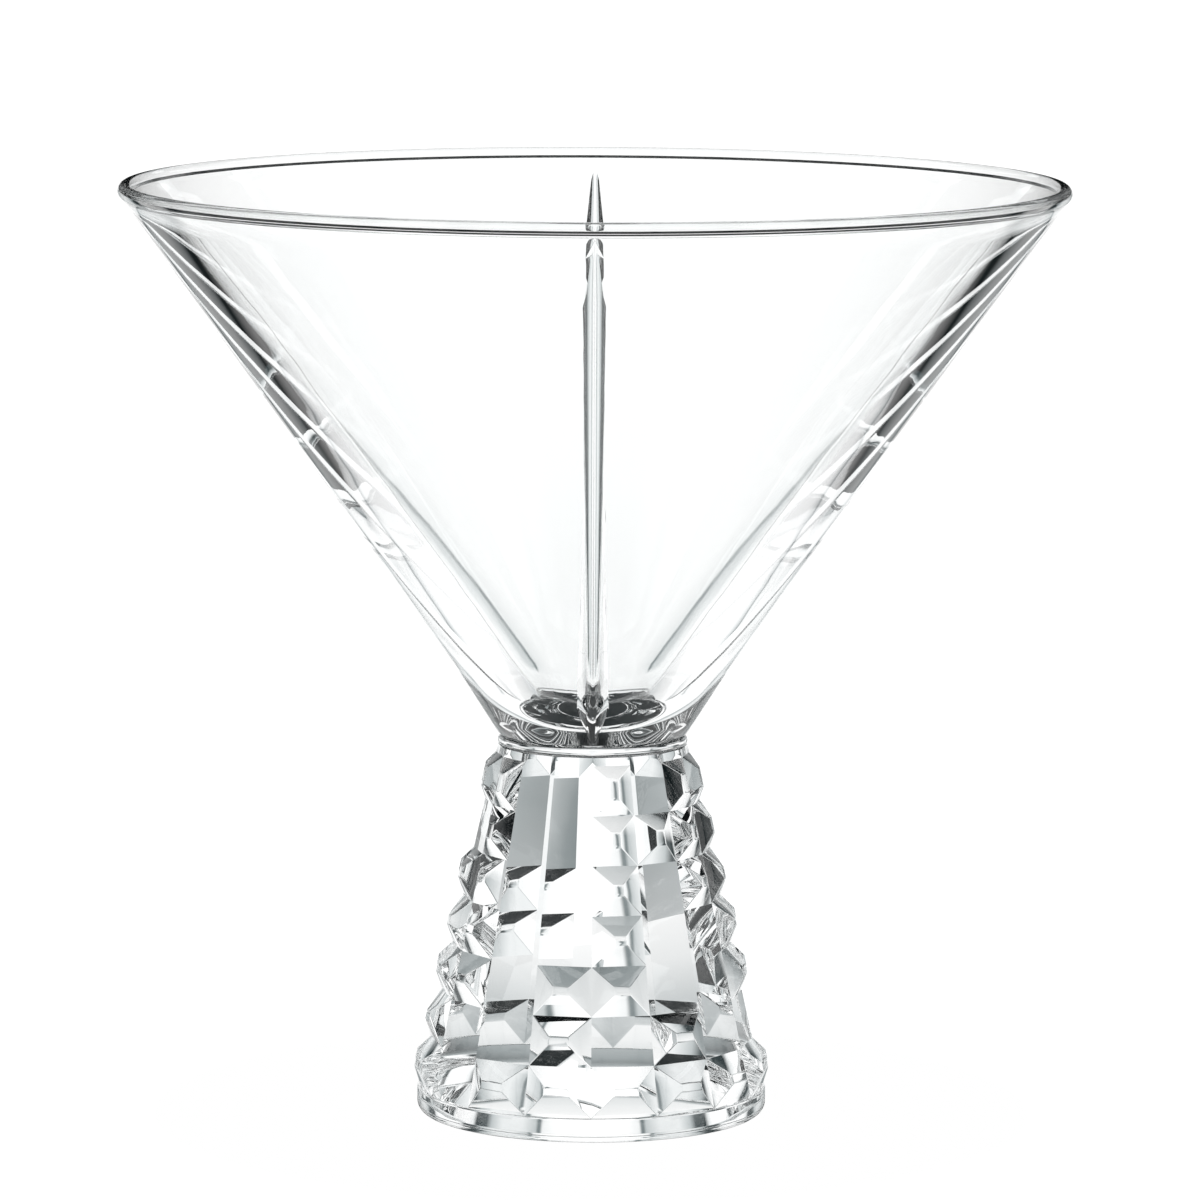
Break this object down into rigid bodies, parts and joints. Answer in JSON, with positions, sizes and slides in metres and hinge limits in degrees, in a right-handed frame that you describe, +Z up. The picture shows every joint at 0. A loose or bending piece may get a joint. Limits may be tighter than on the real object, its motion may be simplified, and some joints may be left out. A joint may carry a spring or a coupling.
{
  "type": "martini glass",
  "caption": "Clear pressed-glass martini glass with a wedge-cut cone bowl on a heavy, studded, faceted cone foot.",
  "frame": {"origin": "centre of the foot's flat underside", "axes": "+Z up along the glass's axis; one of the four wedge cuts and one edge of the foot face -Y"},
  "size_m": [0.1184, 0.1184, 0.117],
  "materials": {
    "bowl": "clear, fire-polished",
    "neck_ring": "clear, fire-polished",
    "foot_core": "clear, as pressed",
    "base_band": "clear, as pressed",
    "studs": "clear, as pressed"
  },
  "bodies": {
    "root": {"bowl": "bowl", "neck_ring": "neck_ring", "foot_core": "foot_core", "base_band": "base_band", "stud_row_1": "studs", "stud_row_2": "studs", "stud_row_3": "studs", "stud_row_4": "studs", "stud_row_5": "studs", "stud_row_6": "studs", "stud_row_7": "studs"}
  },
  "joints": []
}
